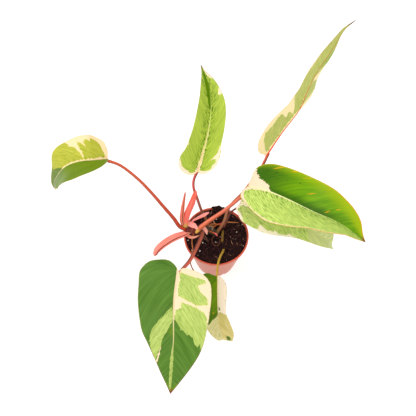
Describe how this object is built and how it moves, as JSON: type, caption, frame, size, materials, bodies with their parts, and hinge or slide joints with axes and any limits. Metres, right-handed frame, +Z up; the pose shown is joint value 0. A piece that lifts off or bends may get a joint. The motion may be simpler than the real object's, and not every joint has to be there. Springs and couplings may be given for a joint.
{
  "type": "potted shady lady philodendron",
  "caption": "Young philodendron with heart-shaped cream and green variegated leaves on salmon petioles, in a small round terracotta-coloured nursery pot filled with soil.",
  "frame": {"origin": "centre of the flat underside of the pot, on the surface the pot stands on", "axes": "+Z up out of the pot; -Y towards the viewer, where the large heart-shaped front leaf hangs; +X to the right, where the two stacked leaves reach"},
  "size_m": [0.5397, 0.4986, 0.4071],
  "materials": {
    "pot": "semi-matte moulded plastic, terracotta-coloured",
    "soil": null,
    "stem": "dull grey-brown bark-like skin; leather stands in for plant tissue",
    "petiole_salmon": "satin salmon-red stalk",
    "petiole_mauve": "satin mauve-brown stalk",
    "petiole_olive": "satin olive-yellow stalk",
    "leaf_green": "glossy green blade with cream and lime sectors",
    "leaf_lime": "satin lime blade with cream margins",
    "leaf_cream": "satin cream and pale green blade",
    "sheath": "soft pink fleshy sheath",
    "root": "dry orange-brown root"
  },
  "bodies": {
    "root": {"pot": "pot", "stem": "stem", "blade_left": "leaf_cream", "blade_top": "leaf_lime", "blade_back": "leaf_cream", "blade_right": "leaf_green", "blade_under": "leaf_cream", "blade_front": "leaf_green", "blade_small": "leaf_lime", "petiole_left": "petiole_salmon", "petiole_top": "petiole_mauve", "petiole_back": "petiole_mauve", "petiole_right": "petiole_salmon", "petiole_under": "petiole_mauve", "petiole_front": "petiole_salmon", "petiole_small": "petiole_olive", "sheath_spike": "sheath", "sheath_blunt": "sheath", "sheath_boat": "sheath", "sheath_clasp": "sheath", "sheath_stub": "sheath", "root_rim": "root", "root_cross": "root", "root_loop": "root", "soil": "soil"}
  },
  "joints": []
}
